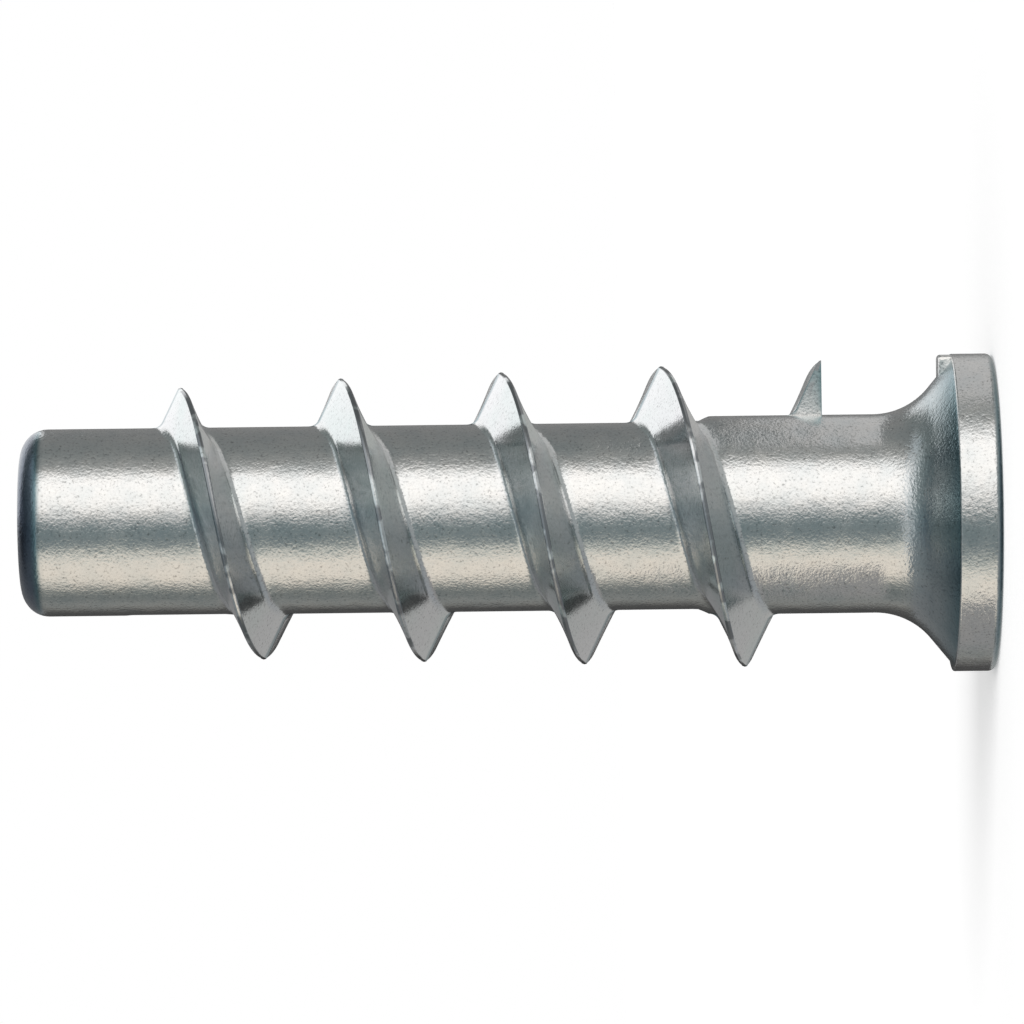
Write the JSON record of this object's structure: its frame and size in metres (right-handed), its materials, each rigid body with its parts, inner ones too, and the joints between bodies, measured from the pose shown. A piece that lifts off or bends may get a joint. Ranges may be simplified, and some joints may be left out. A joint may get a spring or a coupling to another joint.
{
  "type": "aerated concrete anchor",
  "caption": "Screw-in metal anchor for aerated concrete: coarse tapered outer thread, flanged head with hexagon socket, and a threaded bore for a machine screw.",
  "frame": {"origin": "centre of the head face, at the mouth of the drive socket", "axes": "+Z along the anchor's axis from the head face to the tip; +X towards the parting line where the outer thread ends and the gate stub stands"},
  "size_m": [0.0196, 0.0196, 0.06],
  "materials": {
    "zinc_casting": "bare zinc die casting, satin, finely speckled"
  },
  "bodies": {
    "root": {"anchor_body": "zinc_casting"}
  },
  "joints": []
}
